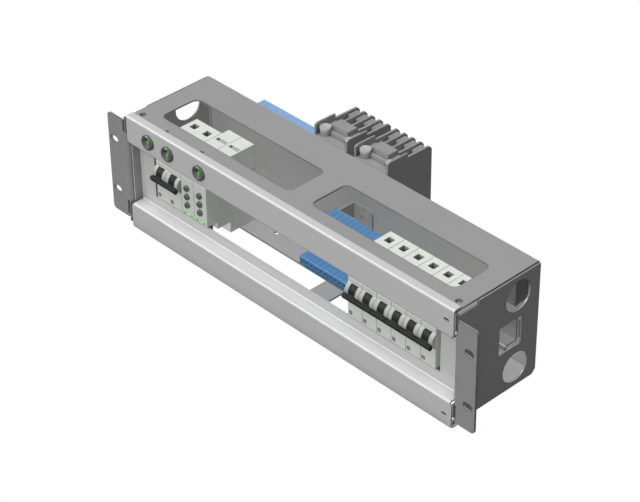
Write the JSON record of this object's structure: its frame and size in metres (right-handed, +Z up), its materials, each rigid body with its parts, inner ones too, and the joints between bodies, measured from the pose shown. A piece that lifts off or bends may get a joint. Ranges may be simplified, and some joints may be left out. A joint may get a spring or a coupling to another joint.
{
  "type": "power distribution module",
  "caption": "Rack-mount power distribution module: folded sheet-metal chassis with breakers, time relays, terminal blocks and pilot lights in front, and contactors behind.",
  "frame": {"origin": "centre of the rectangle of the four ear slots, on the front plane of the ears", "axes": "+X right seen from the front, +Y to the rear, +Z up"},
  "size_m": [0.4826, 0.2033, 0.1283],
  "materials": {
    "chassis_sheet": "plain grey, satin",
    "front_sheet": "light grey, satin",
    "zinc_sheet": "zinc plated",
    "clamp_steel": "zinc plated",
    "housing_plastic": "moulded, light grey",
    "contactor_plastic": "moulded, grey",
    "handle_plastic": "moulded, black",
    "knob_plastic": "moulded, grey",
    "bezel_plastic": "moulded, grey, smooth",
    "green_lamp": "green lens",
    "blue_plastic": "moulded, blue",
    "light_blue_plastic": "moulded, light blue"
  },
  "bodies": {
    "chassis": {"chassis_shell": "chassis_sheet", "left_side_plate": "chassis_sheet", "right_side_plate": "chassis_sheet", "front_plate": "front_sheet", "cross_strap": "chassis_sheet", "carrier_bar": "zinc_sheet", "wall_bracket": "zinc_sheet", "front_rail": "zinc_sheet", "rear_rail": "zinc_sheet", "double_breaker": "housing_plastic", "breaker_clamps": "clamp_steel", "relay_1": "housing_plastic", "relay_2": "housing_plastic", "relay_lamps": "green_lamp", "front_terminals": "blue_plastic", "pilot_light_1": "bezel_plastic", "pilot_light_2": "bezel_plastic", "pilot_light_3": "bezel_plastic", "pilot_lamps": "green_lamp", "pilot_nuts": "clamp_steel", "rear_terminals": "light_blue_plastic", "end_stop": "light_blue_plastic", "contactor_1_base": "contactor_plastic", "contactor_1_head": "contactor_plastic", "contactor_1_clamps": "clamp_steel", "contactor_2_base": "contactor_plastic", "contactor_2_head": "contactor_plastic", "contactor_2_clamps": "clamp_steel", "breaker_1": "housing_plastic", "breaker_2": "housing_plastic", "breaker_3": "housing_plastic", "breaker_4": "housing_plastic", "breaker_5": "housing_plastic", "breaker_6": "housing_plastic"},
    "double_handle": {"double_handle": "handle_plastic"},
    "handle_1": {"handle_1": "handle_plastic"},
    "handle_2": {"handle_2": "handle_plastic"},
    "handle_3": {"handle_3": "handle_plastic"},
    "handle_4": {"handle_4": "handle_plastic"},
    "handle_5": {"handle_5": "handle_plastic"},
    "handle_6": {"handle_6": "handle_plastic"},
    "relay_1_knob_1": {"relay_1_knob_1": "knob_plastic"},
    "relay_1_knob_2": {"relay_1_knob_2": "knob_plastic"},
    "relay_1_knob_3": {"relay_1_knob_3": "knob_plastic"},
    "relay_2_knob_1": {"relay_2_knob_1": "knob_plastic"},
    "relay_2_knob_2": {"relay_2_knob_2": "knob_plastic"},
    "relay_2_knob_3": {"relay_2_knob_3": "knob_plastic"}
  },
  "joints": [
    {"name": "double_handle_hinge", "type": "hinge", "parent": "chassis", "child": "double_handle", "pos_m": [-0.168, 0.015, 0.0078], "axis": [1, 0, 0], "range_deg": [-69, 0]},
    {"name": "handle_1_hinge", "type": "hinge", "parent": "chassis", "child": "handle_1", "pos_m": [0.0846, 0.015, 0.0078], "axis": [1, 0, 0], "range_deg": [-69, 0]},
    {"name": "handle_2_hinge", "type": "hinge", "parent": "chassis", "child": "handle_2", "pos_m": [0.1026, 0.015, 0.0078], "axis": [1, 0, 0], "range_deg": [-69, 0]},
    {"name": "handle_3_hinge", "type": "hinge", "parent": "chassis", "child": "handle_3", "pos_m": [0.1206, 0.015, 0.0078], "axis": [1, 0, 0], "range_deg": [-69, 0]},
    {"name": "handle_4_hinge", "type": "hinge", "parent": "chassis", "child": "handle_4", "pos_m": [0.1386, 0.015, 0.0078], "axis": [1, 0, 0], "range_deg": [-69, 0]},
    {"name": "handle_5_hinge", "type": "hinge", "parent": "chassis", "child": "handle_5", "pos_m": [0.1566, 0.015, 0.0078], "axis": [1, 0, 0], "range_deg": [-69, 0]},
    {"name": "handle_6_hinge", "type": "hinge", "parent": "chassis", "child": "handle_6", "pos_m": [0.1746, 0.015, 0.0078], "axis": [1, 0, 0], "range_deg": [-69, 0]},
    {"name": "relay_1_knob_1_turn", "type": "hinge", "parent": "chassis", "child": "relay_1_knob_1", "pos_m": [-0.141, 0.01, 0.0102], "axis": [0, -1, 0], "range_deg": [-140, 140]},
    {"name": "relay_1_knob_2_turn", "type": "hinge", "parent": "chassis", "child": "relay_1_knob_2", "pos_m": [-0.141, 0.01, 0.0007], "axis": [0, -1, 0], "range_deg": [-140, 140]},
    {"name": "relay_1_knob_3_turn", "type": "hinge", "parent": "chassis", "child": "relay_1_knob_3", "pos_m": [-0.141, 0.01, -0.0088], "axis": [0, -1, 0], "range_deg": [-140, 140]},
    {"name": "relay_2_knob_1_turn", "type": "hinge", "parent": "chassis", "child": "relay_2_knob_1", "pos_m": [-0.123, 0.01, 0.0102], "axis": [0, -1, 0], "range_deg": [-140, 140]},
    {"name": "relay_2_knob_2_turn", "type": "hinge", "parent": "chassis", "child": "relay_2_knob_2", "pos_m": [-0.123, 0.01, 0.0007], "axis": [0, -1, 0], "range_deg": [-140, 140]},
    {"name": "relay_2_knob_3_turn", "type": "hinge", "parent": "chassis", "child": "relay_2_knob_3", "pos_m": [-0.123, 0.01, -0.0088], "axis": [0, -1, 0], "range_deg": [-140, 140]}
  ]
}
